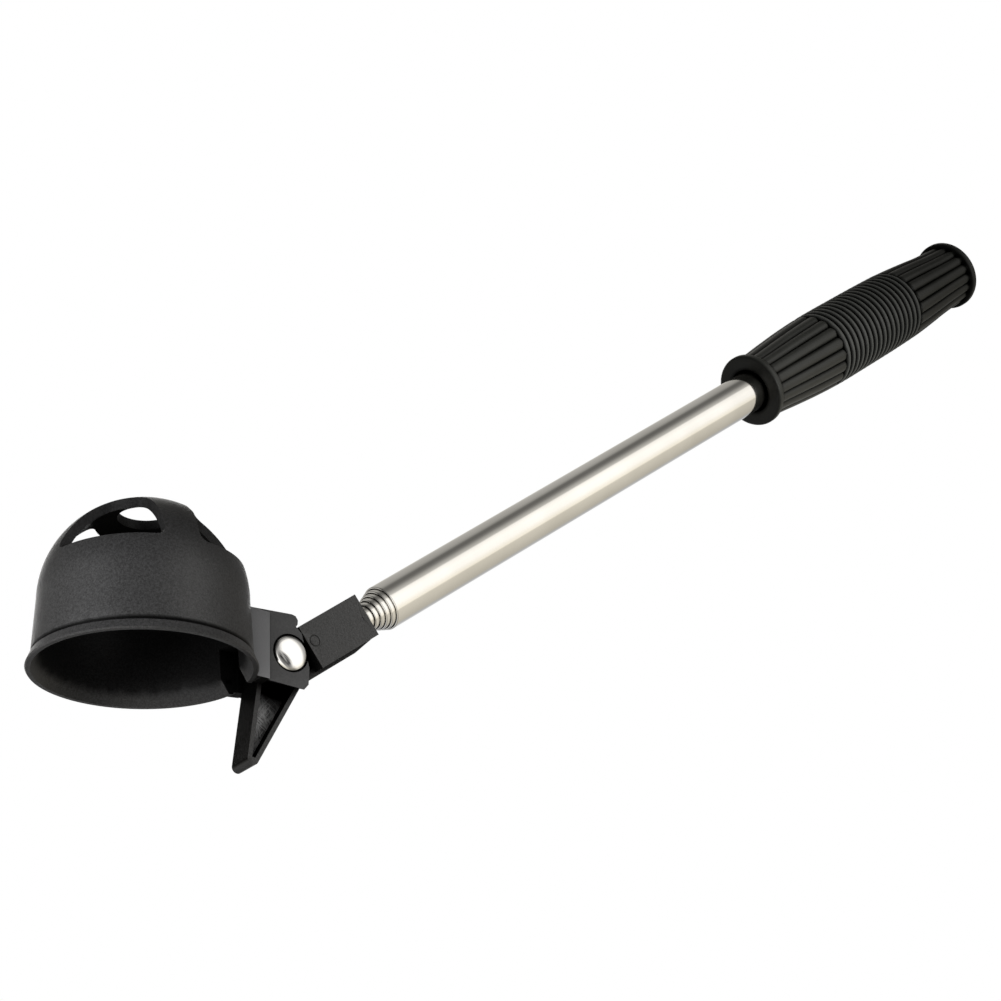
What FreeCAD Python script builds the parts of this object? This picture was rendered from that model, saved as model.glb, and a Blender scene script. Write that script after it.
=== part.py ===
"""Telescopic golf ball retriever: grip, eight nested tubes, hinged arm with a tongue, and a domed scoop.

Row frame: the origin is the centre of the grip's butt face, +X runs along the shaft to the scoop,
+Z is the side the scoop's crown is on, and the hinge turns about Y. Sizes are in millimetres.
"""
import FreeCAD, Part
import math
import os

import Sketcher

doc = FreeCAD.newDocument("golf_ball_retriever")

# ---------------------------------------------------------------- driving dimensions

DIMENSIONS = [
    # grip
    ("grip_length", 115.5), ("flange_thickness", 2.4), ("flange_radius", 11.4), ("grip_bore", 6.27),
    ("grip_mouth_radius", 6.85), ("grip_mouth_depth", 0.6), ("grip_waist", 10.3), ("grip_belly", 12.45),
    ("rings_start", 35.4), ("rings_end", 79.6), ("ring_count", 17), ("ring_depth", 0.95),
    ("ring_groove_half", 0.8), ("flute_count", 18), ("flute_width", 1.1), ("flute_depth", 0.7),
    ("butt_wall", 3.0), ("edge_round", 0.5), ("flange_root", 0.6), ("taper_ease", 6.0), ("taper_rise", 0.1),
    # telescopic shaft
    ("tube_front", 284.5), ("tube_radius", 6.25), ("radius_step", 0.575), ("tube_wall", 0.3),
    ("front_step", 1.5), ("rear_step", 1.5), ("first_rear", 24.0), ("rolled_lip", 1.2), ("slip", 0.05),
    ("edge_break", 0.2), ("sleeve_length", 28.0), ("plug_length", 18.0), ("plug_bore", 3.0),
    ("plug_floor", 4.0), ("press_fit", 0.01),
    # hinge: the rivet's place, and the arm measured from it
    ("rivet_x", 322.7), ("rivet_z", 1.8), ("rivet_radius", 2.0), ("rivet_head_radius", 4.8),
    ("rivet_head_height", 1.5), ("head_recess_radius", 5.15), ("head_recess_depth", 0.7),
    ("arm_half_width", 7.5), ("arm_back", 27.4), ("arm_shoulder", 6.3), ("arm_top", 4.75),
    ("arm_bottom", 7.44), ("arm_crest_x", 4.65), ("arm_crest_z", 4.48), ("socket_depth", 18.0),
    ("web_half", 4.0), ("web_core_half", 0.8), ("eye_radius", 6.45), ("rib", 1.5), ("tongue_rib", 1.25),
    ("tongue_tip_x", 25.1), ("tongue_tip_z", 16.75), ("tongue_nose_x", 23.95), ("tongue_nose_z", 17.86),
    ("tongue_toe_x", 23.28), ("tongue_toe_z", 19.31), ("tongue_heel_x", 0.8), ("tongue_heel_z", 8.9),
    ("hollow_tip_x", 23.9), ("hollow_tip_z", 17.3), ("hollow_toe_x", 23.25), ("hollow_toe_z", 17.95),
    ("keel_depth", 8.4), ("keel_end", 20.3), ("pin_radius", 0.5), ("pin_back", 25.4), ("mark_back", 8.5),
    ("mark_drop", 0.4), ("mark_radius", 1.6), ("mark_depth", 0.12), ("mark_line", 0.3), ("shank_end", 0.9),
    # scoop, in its own frame: rim centre at the origin, dome up, hinge at -X
    ("scoop_tilt", 35.9), ("rim_radius", 28.7), ("rim_inner", 27.3), ("lip_height", 2.6),
    ("lip_radius", 27.8), ("seam_depth", 0.35), ("seam_width", 1.3), ("body_radius", 27.4),
    ("dome_radius", 26.5), ("dome_centre", 17.8), ("wall", 2.4), ("rivet_out", 37.93), ("rivet_up", 8.97),
    ("window_floor", 26.0), ("rib_half", 4.1), ("rib_half_at_hub", 5.1), ("hub_radius", 12.6),
    ("hub_hole", 7.0), ("window_turn", -4.5), ("window_corner", 2.5), ("hub_corner", 4.2),
    ("ear_gap_half", 4.25), ("ear_start", 24.0), ("ear_floor", 0.6), ("ear_top", 19.6),
    ("ear_reach", 43.4), ("ear_neck_x", 39.55), ("ear_neck_z", 16.4), ("ear_lead", 2.9),
    ("root_start", 22.0), ("ear_root", 31.5), ("root_half", 8.1), ("root_flare", 0.15),
    ("root_floor", 0.7), ("root_top", 18.7), ("slot_start", 20.0), ("slot_half", 4.7),
    ("slot_top", 11.4), ("side_play", 0.02), ("overcut", 3.0),
]
TUBES = 8

sizes = doc.addObject("Spreadsheet::Sheet", "sizes")
for row, (alias, number) in enumerate(DIMENSIONS, start=1):
    sizes.set(f"A{row}", alias)
    sizes.set(f"B{row}", str(number))
    sizes.setAlias(f"B{row}", alias)
doc.recompute()

# ---------------------------------------------------------------- modelling helpers


def number(expression):
    """The value of an expression written on the sheet's names, such as "sizes.wall * 2"."""
    return float(sizes.evalExpression(expression))


def new_body(label):
    body = doc.addObject("PartDesign::Body", label)
    body.Label = label
    return body


def new_sketch(body, name, plane, offset=None):
    """A sketch on one of the body's own origin planes; offset is an expression along its normal."""
    sketch = body.newObject("Sketcher::SketchObject", name)
    origin_plane = next(f for f in body.Origin.OriginFeatures if f.Role == plane)
    sketch.AttachmentSupport = [(origin_plane, "")]
    sketch.MapMode = "FlatFace"
    if offset is not None:
        sketch.setExpression("AttachmentOffset.Base.z", offset)
    return sketch


def pin_down(sketch, geometry, point, x, y):
    """Fixes a point of the sketch at two expressions, measured from the sketch's origin."""
    for kind, axis, expression in (("DistanceX", -2, x), ("DistanceY", -1, y)):
        if expression is None:
            continue
        if expression == "0":
            sketch.addConstraint(Sketcher.Constraint("PointOnObject", geometry, point, axis))
            continue
        at = sketch.addConstraint(Sketcher.Constraint(kind, -1, 1, geometry, point, number(expression)))
        sketch.setExpression(f"Constraints[{at}]", expression)


def outline(sketch, steps):
    """A closed outline. A step is (x, y), the end of a straight line, or (x, y, cx, cy, turn), the end of an
    arc round (cx, cy) that goes left for turn +1 and right for -1; the arc's end keeps only its x fixed."""
    points = [FreeCAD.Vector(number(step[0]), number(step[1]), 0) for step in steps]
    for i, step in enumerate(steps):
        start, end = points[i - 1], points[i]
        if len(step) == 2:
            sketch.addGeometry(Part.LineSegment(start, end), False)
            continue
        centre = FreeCAD.Vector(number(step[2]), number(step[3]), 0)
        first, last = ((start, end) if step[4] > 0 else (end, start))
        angles = [math.atan2(p.y - centre.y, p.x - centre.x) for p in (first, last)]
        circle = Part.Circle(centre, FreeCAD.Vector(0, 0, 1), (start - centre).Length)
        sketch.addGeometry(Part.ArcOfCircle(circle, angles[0], angles[1]), False)
        pin_down(sketch, i, 3, step[2], step[3])
    last_point = [1 if len(step) == 5 and step[4] < 0 else 2 for step in steps]
    for i, step in enumerate(steps):
        following = (i + 1) % len(steps)
        first_point = 3 - last_point[following]
        sketch.addConstraint(Sketcher.Constraint("Coincident", i, last_point[i], following, first_point))
        pin_down(sketch, i, last_point[i], step[0], step[1] if len(step) == 2 else None)
    return sketch


def circle(sketch, x, y, radius):
    centre = FreeCAD.Vector(number(x), number(y), 0)
    at = sketch.addGeometry(Part.Circle(centre, FreeCAD.Vector(0, 0, 1), number(radius)), False)
    pin_down(sketch, at, 3, x, y)
    size = sketch.addConstraint(Sketcher.Constraint("Radius", at, number(radius)))
    sketch.setExpression(f"Constraints[{size}]", radius)
    return sketch


def turned(body, name, sketch, axis, kind="Revolution"):
    """A full turn of the sketch about its own H_Axis or V_Axis; kind Groove removes it."""
    feature = body.newObject(f"PartDesign::{kind}", name)
    feature.Profile = sketch
    feature.ReferenceAxis = (sketch, [axis])
    feature.Angle = 360
    sketch.Visibility = False
    return feature


def extruded(body, name, sketch, length=None, kind="Pad", midplane=True, flip=False):
    """A Pad or Pocket of the sketch; length is an expression, and None on a Pocket goes through all."""
    feature = body.newObject(f"PartDesign::{kind}", name)
    feature.Profile = sketch
    feature.Midplane = midplane
    feature.Reversed = flip
    if length is None:
        feature.Type = "ThroughAll"
    else:
        feature.setExpression("Length", length)
    sketch.Visibility = False
    return feature


def round_pattern(body, name, feature, sketch, axis, count):
    """Repeats a feature round the axis named by one of the sketch's own axes."""
    pattern = body.newObject("PartDesign::PolarPattern", name)
    pattern.Originals = [feature]
    pattern.Axis = (sketch, [axis])
    pattern.Angle = 360
    pattern.setExpression("Occurrences", count)
    body.Tip = pattern
    return pattern


def straight_edges(feature, wanted):
    """Names of the feature's straight edges whose two ends satisfy wanted(a, b)."""
    names = []
    for i, edge in enumerate(feature.Shape.Edges, start=1):
        straight = edge.Curve.TypeId == "Part::GeomLine"
        if straight and wanted(edge.Vertexes[0].Point, edge.Vertexes[-1].Point):
            names.append(f"Edge{i}")
    return names


def rounded(body, name, feature, edges, radius):
    """Fillets the named edges of a feature of the body."""
    fillet = body.newObject("PartDesign::Fillet", name)
    fillet.Base = (feature, edges)
    fillet.setExpression("Radius", radius)
    doc.recompute()
    return fillet


def place_at_hinge(body):
    body.setExpression("Placement.Base.x", "sizes.rivet_x")
    body.setExpression("Placement.Base.z", "sizes.rivet_z")


# ---------------------------------------------------------------- grip


def make_grip():
    """Moulded grip: a flange at each end, two fluted tapers, and a ringed belly between them."""
    body = new_body("grip")
    profile = outline(new_sketch(body, "grip_profile", "XY_Plane"), [
        ("0", "0"),
        ("0", "sizes.flange_radius - sizes.edge_round"),
        ("sizes.edge_round", "sizes.flange_radius"),
        ("sizes.flange_thickness", "sizes.flange_radius"),
        ("sizes.flange_thickness + sizes.flange_root", "sizes.grip_waist"),
        ("sizes.flange_thickness + sizes.taper_ease", "sizes.grip_waist + sizes.taper_rise"),
        ("sizes.rings_start - sizes.taper_ease", "sizes.grip_belly - 0.65"),
        ("sizes.rings_start", "sizes.grip_belly - 0.35"),
        ("sizes.rings_start + sizes.taper_ease * 2", "sizes.grip_belly - 0.05"),
        ("sizes.rings_end", "sizes.grip_belly"),
        ("sizes.rings_end + sizes.taper_ease * 2", "sizes.grip_belly - 0.5"),
        ("sizes.grip_length - sizes.taper_ease - 1", "sizes.grip_waist + sizes.taper_rise"),
        ("sizes.grip_length - sizes.flange_thickness - sizes.flange_root", "sizes.grip_waist"),
        ("sizes.grip_length - sizes.flange_thickness", "sizes.flange_radius"),
        ("sizes.grip_length - sizes.edge_round", "sizes.flange_radius"),
        ("sizes.grip_length", "sizes.flange_radius - sizes.edge_round"),
        ("sizes.grip_length", "sizes.grip_mouth_radius"),
        ("sizes.grip_length - sizes.grip_mouth_depth", "sizes.grip_mouth_radius - 0.4"),
        ("sizes.grip_length - sizes.grip_mouth_depth", "sizes.grip_bore"),
        ("sizes.butt_wall", "sizes.grip_bore"),
        ("sizes.butt_wall", "0"),
    ])
    turned(body, "grip_blank", profile, "H_Axis")

    pitch = "(sizes.rings_end - sizes.rings_start) / sizes.ring_count"
    first_ring = f"(sizes.rings_start + {pitch} / 2)"
    ring_floor = "sizes.grip_belly - sizes.ring_depth"
    ring = outline(new_sketch(body, "ring_profile", "XY_Plane"), [
        (f"{first_ring} - sizes.ring_groove_half", "sizes.grip_belly + 1"),
        (f"{first_ring} - sizes.ring_groove_half * 0.45", ring_floor),
        (f"{first_ring} + sizes.ring_groove_half * 0.45", ring_floor),
        (f"{first_ring} + sizes.ring_groove_half", "sizes.grip_belly + 1"),
    ])
    groove = turned(body, "ring_groove", ring, "H_Axis", "Groove")
    rings = body.newObject("PartDesign::LinearPattern", "rings")
    rings.Originals = [groove]
    rings.Direction = (ring, ["H_Axis"])
    rings.setExpression("Length", f"{pitch} * (sizes.ring_count - 1)")
    rings.setExpression("Occurrences", "sizes.ring_count")
    body.Tip = rings

    belly_floor = "sizes.grip_belly - 0.5 - sizes.flute_depth"
    waist_floor = "sizes.grip_waist - sizes.flute_depth"
    ends = {
        "front": ("sizes.rings_end + 0.4", "sizes.grip_length - sizes.flange_thickness - sizes.flange_root"),
        "rear": ("sizes.rings_start - 0.4", "sizes.flange_thickness + sizes.flange_root"),
    }
    for end, (ring_x, flange_x) in ends.items():
        sketch = outline(new_sketch(body, f"{end}_flute_profile", "XZ_Plane"), [
            (ring_x, belly_floor),
            (flange_x, waist_floor),
            (flange_x, "sizes.grip_belly + sizes.overcut"),
            (ring_x, "sizes.grip_belly + sizes.overcut"),
        ])
        flute = extruded(body, f"{end}_flute", sketch, "sizes.flute_width", "Pocket")
        round_pattern(body, f"{end}_flutes", flute, sketch, "H_Axis", "sizes.flute_count")


def make_tube_end_plug():
    """Plug in the rear of the widest tube; it stops the inner tubes from falling out backwards."""
    body = new_body("tube_end_plug")
    radius = "sizes.tube_radius - sizes.tube_wall - sizes.press_fit"
    profile = outline(new_sketch(body, "plug_profile", "XY_Plane"), [
        ("sizes.butt_wall + sizes.edge_round", "0"),
        ("sizes.butt_wall + sizes.edge_round", f"{radius} - sizes.edge_round"),
        ("sizes.butt_wall + sizes.edge_round * 2", radius),
        ("sizes.butt_wall + sizes.plug_length - sizes.edge_round", radius),
        ("sizes.butt_wall + sizes.plug_length", f"{radius} - sizes.edge_round"),
        ("sizes.butt_wall + sizes.plug_length", "sizes.plug_bore"),
        ("sizes.butt_wall + sizes.plug_floor", "sizes.plug_bore"),
        ("sizes.butt_wall + sizes.plug_floor", "0"),
    ])
    turned(body, "plug", profile, "H_Axis")


# ---------------------------------------------------------------- telescopic shaft


def tube_outer(i):
    return f"(sizes.tube_radius - sizes.radius_step * {i - 1})"


def tube_bore(i):
    return f"({tube_outer(i)} - sizes.tube_wall)"


def tube_rear(i):
    return "(sizes.butt_wall + 0.2)" if i == 1 else f"(sizes.first_rear + sizes.rear_step * {i - 2})"


def make_tube(i):
    """Stainless tube with its front end rolled in round the next one, so that its sleeve can't pass."""
    body = new_body(f"tube_{i}")
    last = i == TUBES
    front = f"(sizes.tube_front + sizes.front_step * {i - 1})"
    if last:
        front = "(sizes.rivet_x - sizes.arm_back + sizes.socket_depth - 0.1)"
    steps = [(tube_rear(i), tube_bore(i)), (tube_rear(i), tube_outer(i))]
    steps += [(f"{front} - sizes.edge_break", tube_outer(i)), (front, f"{tube_outer(i)} - sizes.edge_break")]
    if last:
        steps += [(front, tube_bore(i))]
    else:
        lip = f"({tube_outer(i + 1)} + sizes.slip)"
        roll_end = f"{front} - sizes.rolled_lip"
        steps += [(front, lip), (roll_end, lip), (roll_end, tube_bore(i))]
    turned(body, "wall", outline(new_sketch(body, "wall_profile", "XY_Plane"), steps), "H_Axis")
    if last:
        pin_hole = circle(new_sketch(body, "pin_hole_profile", "XZ_Plane"),
                          "sizes.rivet_x - sizes.pin_back", "0", "sizes.pin_radius + sizes.press_fit")
        extruded(body, "pin_hole", pin_hole, "sizes.tube_radius * 2", "Pocket")


def make_sleeve(i):
    """Brass friction sleeve on the rear end of tube i; it rubs in the bore of the tube outside it."""
    body = new_body(f"friction_sleeve_{i}")
    inner = f"{tube_outer(i)} + sizes.press_fit * 2"
    outer = f"{tube_bore(i - 1)} - sizes.slip"
    end = f"({tube_rear(i)} + sizes.sleeve_length)"
    turned(body, "sleeve", outline(new_sketch(body, "sleeve_profile", "XY_Plane"), [
        (tube_rear(i), inner), (tube_rear(i), outer), (end, outer), (end, inner),
    ]), "H_Axis")


# ---------------------------------------------------------------- arm


def make_hinge_arm():
    """One moulding: the block that holds the last tube, a ribbed web through the hinge, and the tongue.
    Its own origin is the rivet's centre."""
    body = new_body("hinge_arm")
    web = outline(new_sketch(body, "web_profile", "XZ_Plane"), [
        ("-sizes.arm_shoulder - 1", "sizes.arm_top - 0.6"),
        ("0", "sizes.arm_top"),
        ("sizes.arm_crest_x", "sizes.arm_crest_z"),
        ("sizes.tongue_tip_x", "-sizes.tongue_tip_z"),
        ("sizes.tongue_toe_x", "-sizes.tongue_toe_z", "sizes.tongue_nose_x", "-sizes.tongue_nose_z", -1),
        ("sizes.tongue_heel_x", "-sizes.tongue_heel_z"),
        ("-2", "-sizes.keel_depth"),
        ("-sizes.keel_end", "-sizes.keel_depth"),
        ("-sizes.arm_back", "-sizes.arm_bottom"),
        ("-sizes.arm_back", "-sizes.arm_bottom + 2"),
        ("-sizes.arm_shoulder - 1", "-sizes.arm_bottom + 2"),
    ])
    extruded(body, "web", web, "sizes.web_half * 2")
    eye = circle(new_sketch(body, "eye_profile", "XZ_Plane"), "0", "0", "sizes.eye_radius")
    extruded(body, "eye", eye, "sizes.web_half * 2")
    hollow = [
        ("sizes.arm_crest_x - sizes.tongue_rib * 0.72", "sizes.arm_crest_z - sizes.tongue_rib * 0.69"),
        ("sizes.hollow_tip_x", "-sizes.hollow_tip_z"),
        ("sizes.hollow_toe_x", "-sizes.hollow_toe_z"),
        ("sizes.tongue_heel_x + sizes.tongue_rib * 0.42", "-sizes.tongue_heel_z + sizes.tongue_rib * 0.9"),
        ("-sizes.arm_shoulder", "-sizes.keel_depth + sizes.rib + 0.9"),
        ("-sizes.arm_shoulder", "-1"),
    ]
    for side, flip in (("near", False), ("far", True)):
        offset = "sizes.web_core_half" if side == "near" else "-sizes.web_core_half"
        sketch = outline(new_sketch(body, f"{side}_hollow_profile", "XZ_Plane", offset), hollow)
        extruded(body, f"{side}_hollow", sketch, "sizes.web_half", "Pocket", midplane=False, flip=not flip)
    boss = circle(new_sketch(body, "boss_profile", "XZ_Plane"), "0", "0", "sizes.eye_radius - sizes.rib")
    extruded(body, "boss", boss, "sizes.web_half * 2")
    block = outline(new_sketch(body, "block_profile", "XZ_Plane"), [
        ("-sizes.arm_back", "-sizes.arm_bottom"), ("-sizes.arm_shoulder", "-sizes.arm_bottom"),
        ("-sizes.arm_shoulder", "sizes.arm_top"), ("-sizes.arm_back", "sizes.arm_top"),
    ])
    extruded(body, "block", block, "sizes.arm_half_width * 2")
    eye_hole = circle(new_sketch(body, "eye_hole_profile", "XZ_Plane"), "0", "0",
                      "sizes.rivet_radius + sizes.slip")
    extruded(body, "eye_hole", eye_hole, "sizes.web_half * 2 + 1", "Pocket")
    socket = circle(new_sketch(body, "socket_profile", "YZ_Plane", "-sizes.arm_back"),
                    "0", "-sizes.rivet_z", f"{tube_outer(TUBES)} + sizes.press_fit")
    extruded(body, "socket", socket, "sizes.socket_depth", "Pocket", midplane=False, flip=True)
    pin_hole = circle(new_sketch(body, "pin_hole_profile", "XZ_Plane"), "-sizes.pin_back", "-sizes.rivet_z",
                      "sizes.pin_radius + sizes.press_fit")
    extruded(body, "pin_hole", pin_hole, "sizes.arm_half_width * 2 + 1", "Pocket")
    mark = new_sketch(body, "mark_profile", "XZ_Plane", "-sizes.arm_half_width")
    for radius in ("sizes.mark_radius", "sizes.mark_radius - sizes.mark_line"):
        circle(mark, "-sizes.mark_back", "-sizes.mark_drop", radius)
    extruded(body, "ejector_mark", mark, "sizes.mark_depth", "Pocket", midplane=False, flip=True)
    place_at_hinge(body)


def make_arm_pin():
    """Cross pin that holds the last tube in the arm's socket."""
    body = new_body("arm_pin")
    pin = circle(new_sketch(body, "pin_profile", "XZ_Plane"), "-sizes.pin_back", "-sizes.rivet_z",
                 "sizes.pin_radius")
    extruded(body, "pin", pin, "sizes.arm_half_width * 2 - 0.2")
    place_at_hinge(body)


# ---------------------------------------------------------------- scoop


def make_scoop_cup():
    """Domed cup with a flared lip, four windows round a hub, and two ears for the rivet."""
    body = new_body("scoop_cup")
    shell = outline(new_sketch(body, "shell_profile", "XZ_Plane"), [
        ("0", "0"),
        ("sizes.rim_radius - 0.25", "0"),
        ("sizes.rim_radius", "0.4"),
        ("sizes.lip_radius", "sizes.lip_height"),
        ("sizes.body_radius - sizes.seam_depth", "sizes.lip_height + sizes.seam_width * 0.25"),
        ("sizes.body_radius - sizes.seam_depth", "sizes.lip_height + sizes.seam_width * 0.5"),
        ("sizes.body_radius", "sizes.lip_height + sizes.seam_width"),
        ("sizes.dome_radius", "sizes.dome_centre"),
        ("0", "sizes.dome_centre + sizes.dome_radius", "0", "sizes.dome_centre", 1),
    ])
    turned(body, "shell", shell, "V_Axis")
    flared_half = "sizes.root_half + sizes.root_flare * (sizes.ear_root - sizes.root_start)"
    root = outline(new_sketch(body, "root_profile", "XY_Plane", "sizes.root_floor"), [
        ("-sizes.root_start", flared_half), ("-sizes.root_start", f"-({flared_half})"),
        ("-sizes.ear_root", "-sizes.root_half"), ("-sizes.ear_root", "sizes.root_half"),
    ])
    extruded(body, "ear_root_pad", root, "sizes.root_top - sizes.root_floor", midplane=False)
    ear = outline(new_sketch(body, "ear_profile", "XZ_Plane"), [
        ("-sizes.ear_start", "sizes.ear_top - 0.3"),
        ("-sizes.ear_start", "sizes.ear_floor"),
        ("-sizes.ear_root", "sizes.ear_floor"),
        ("-sizes.ear_reach + 1.6", "-0.2"),
        ("-sizes.ear_reach + 0.3", "1.3"),
        ("-sizes.ear_reach", "5.75"),
        ("-sizes.ear_neck_x - 1.65", "sizes.ear_neck_z - 1.55"),
        ("-sizes.ear_neck_x", "sizes.ear_neck_z"),
        ("-sizes.ear_neck_x - 0.45", "sizes.ear_neck_z + 0.7"),
        ("-sizes.ear_neck_x - 0.55", "sizes.ear_top - 1.3"),
        ("-sizes.ear_neck_x + 0.15", "sizes.ear_top - 0.3"),
        ("-sizes.ear_neck_x + 1.25", "sizes.ear_top"),
    ])
    extruded(body, "ears", ear, "sizes.arm_half_width * 2")
    cavity = outline(new_sketch(body, "cavity_profile", "XZ_Plane"), [
        ("0", "-1"),
        ("sizes.rim_inner", "-1"),
        ("sizes.rim_inner", "0"),
        ("sizes.body_radius - sizes.wall", "sizes.lip_height + 1"),
        ("sizes.dome_radius - sizes.wall", "sizes.dome_centre"),
        ("0", "sizes.dome_centre + sizes.dome_radius - sizes.wall", "0", "sizes.dome_centre", 1),
    ])
    turned(body, "cavity", cavity, "V_Axis", "Groove")
    between = outline(new_sketch(body, "ear_gap_profile", "XZ_Plane"), [
        ("-sizes.rim_radius - 0.3", "-sizes.overcut"),
        ("-sizes.rim_radius - 0.3", "sizes.ear_top + sizes.overcut"),
        ("-sizes.ear_reach - sizes.overcut", "sizes.ear_top + sizes.overcut"),
        ("-sizes.ear_reach - sizes.overcut", "-sizes.overcut"),
    ])
    extruded(body, "ear_gap", between, "sizes.ear_gap_half * 2", "Pocket")
    lead_in = outline(new_sketch(body, "ear_lead_profile", "YZ_Plane", "-sizes.ear_reach - 1"), [
        ("-sizes.ear_gap_half", "sizes.ear_lead"), ("-sizes.ear_gap_half - sizes.ear_lead - 1", "-1"),
        ("sizes.ear_gap_half + sizes.ear_lead + 1", "-1"), ("sizes.ear_gap_half", "sizes.ear_lead"),
    ])
    ear_length = "sizes.ear_reach + 1 - sizes.ear_root"
    extruded(body, "ear_lead", lead_in, ear_length, "Pocket", midplane=False, flip=True)
    slot = outline(new_sketch(body, "tongue_slot_profile", "XZ_Plane"), [
        ("-sizes.slot_start", "-sizes.overcut"), ("-sizes.slot_start", "sizes.slot_top"),
        ("-sizes.rim_radius - 0.4", "sizes.slot_top"), ("-sizes.rim_radius - 0.4", "-sizes.overcut"),
    ])
    extruded(body, "tongue_slot", slot, "sizes.slot_half * 2", "Pocket")
    hub = circle(new_sketch(body, "hub_hole_profile", "XY_Plane", "sizes.window_floor"), "0", "0",
                 "sizes.hub_hole")
    extruded(body, "hub_hole", hub, None, "Pocket", midplane=False, flip=True)
    reach = "(sizes.dome_radius + 4)"
    corner = "sqrt(sizes.hub_radius^2 - sizes.rib_half_at_hub^2)"
    window = new_sketch(body, "window_profile", "XY_Plane", "sizes.window_floor")
    window.setExpression("AttachmentOffset.Rotation.Angle", "sizes.window_turn * 1 deg")
    outline(window, [
        ("sizes.rib_half_at_hub", corner, "0", "0", 1),
        ("sizes.rib_half", reach),
        (reach, reach),
        (reach, "sizes.rib_half"),
        (corner, "sizes.rib_half_at_hub"),
    ])
    cut = extruded(body, "window", window, None, "Pocket", midplane=False, flip=True)
    windows = round_pattern(body, "windows", cut, window, "N_Axis", "4")
    doc.recompute()
    floor, hub_radius = number("sizes.window_floor"), number("sizes.hub_radius")
    sills = straight_edges(windows, lambda a, b: abs(a.z - floor) < 0.01 and abs(b.z - floor) < 0.01)
    rounded(body, "sill_corners", windows, sills, "sizes.window_corner")
    hub_edges = straight_edges(body.Tip, lambda a, b: math.hypot(a.x - b.x, a.y - b.y) < 0.01
                               and abs(math.hypot(a.x, a.y) - hub_radius) < 0.01)
    rounded(body, "hub_corners", body.Tip, hub_edges, "sizes.hub_corner")
    rivet_hole = circle(new_sketch(body, "rivet_hole_profile", "XZ_Plane"),
                        "-sizes.rivet_out", "sizes.rivet_up", "sizes.rivet_radius + sizes.side_play")
    extruded(body, "rivet_hole", rivet_hole, "sizes.arm_half_width * 2 + 1", "Pocket")
    for side, sign in (("near", 1), ("far", -1)):
        offset = f"{sign} * (sizes.arm_half_width - sizes.head_recess_depth)"
        sketch = circle(new_sketch(body, f"{side}_recess_profile", "XZ_Plane", offset),
                        "-sizes.rivet_out", "sizes.rivet_up", "sizes.head_recess_radius")
        extruded(body, f"{side}_recess", sketch, "sizes.head_recess_depth * 2", "Pocket", midplane=False,
                 flip=sign > 0)
    tilt = number("sizes.scoop_tilt")
    across, up = number("sizes.rivet_out"), number("sizes.rivet_up")
    cosine, sine = math.cos(math.radians(tilt)), math.sin(math.radians(tilt))
    rim = FreeCAD.Vector(number("sizes.rivet_x") + across * cosine + up * sine, 0,
                         number("sizes.rivet_z") + across * sine - up * cosine)
    body.Placement = FreeCAD.Placement(rim, FreeCAD.Rotation(FreeCAD.Vector(0, 1, 0), -tilt))


# ---------------------------------------------------------------- rivet


def make_hinge_rivet():
    """Solid rivet with a domed head on the +Y side; it is fixed in the ears and turns in the arm's eye."""
    body = new_body("hinge_rivet")
    seat = "(sizes.arm_half_width - sizes.head_recess_depth + 0.02)"
    profile = outline(new_sketch(body, "rivet_profile", "XY_Plane"), [
        ("0", f"-{seat} - sizes.shank_end"),
        ("sizes.rivet_radius", f"-{seat} - sizes.shank_end"),
        ("sizes.rivet_radius", seat),
        ("sizes.rivet_head_radius", seat),
        ("sizes.rivet_head_radius", f"{seat} + 0.45"),
        ("sizes.rivet_head_radius - 0.7", f"{seat} + 0.95"),
        ("sizes.rivet_head_radius - 2.2", f"{seat} + sizes.rivet_head_height - 0.12"),
        ("0", f"{seat} + sizes.rivet_head_height"),
    ])
    turned(body, "rivet", profile, "V_Axis")
    place_at_hinge(body)


def make_rivet_cap():
    """Domed cap closed over the rivet's far end."""
    body = new_body("rivet_cap")
    seat = "(sizes.arm_half_width - sizes.head_recess_depth + 0.02)"
    profile = outline(new_sketch(body, "cap_profile", "XY_Plane"), [
        ("0", f"-{seat} - sizes.rivet_head_height"),
        ("sizes.rivet_head_radius - 2.2", f"-{seat} - sizes.rivet_head_height + 0.12"),
        ("sizes.rivet_head_radius - 0.7", f"-{seat} - 0.95"),
        ("sizes.rivet_head_radius", f"-{seat} - 0.45"),
        ("sizes.rivet_head_radius", f"-{seat}"),
        ("sizes.rivet_radius + sizes.press_fit", f"-{seat}"),
        ("sizes.rivet_radius + sizes.press_fit", f"-{seat} - sizes.shank_end - sizes.slip"),
        ("0", f"-{seat} - sizes.shank_end - sizes.slip"),
    ])
    turned(body, "cap", profile, "V_Axis")
    place_at_hinge(body)


# ---------------------------------------------------------------- build, check and write

make_grip()
make_tube_end_plug()
for section in range(1, TUBES + 1):
    make_tube(section)
for section in range(2, TUBES + 1):
    make_sleeve(section)
make_hinge_arm()
make_arm_pin()
make_scoop_cup()
make_hinge_rivet()
make_rivet_cap()
doc.recompute()

failed = [o.Name for o in doc.Objects if {"Invalid", "Error"} & set(o.State)]
if failed:
    raise RuntimeError(f"these objects failed: {failed}")
parts = [o for o in doc.Objects if o.TypeId == "PartDesign::Body"]
for part in parts:
    if part.Shape.isNull() or not part.Shape.isValid():
        raise RuntimeError(f"{part.Label} has no valid shape")
    if len(part.Shape.Solids) != 1:
        raise RuntimeError(f"{part.Label} has {len(part.Shape.Solids)} solids")

for cut in doc.Objects:
    if cut.TypeId in ("PartDesign::Pocket", "PartDesign::Groove"):
        removed = cut.BaseFeature.Shape.Volume - cut.Shape.Volume
        if removed <= 0:
            raise RuntimeError(f"{cut.Label} removes nothing")

os.makedirs("parts", exist_ok=True)
for part in parts:
    part.Shape.exportStep(f"parts/{part.Label}.step")
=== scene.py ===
"""Looks for the telescopic golf ball retriever: meshes, materials, studio and camera for its frame."""

import math

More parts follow.
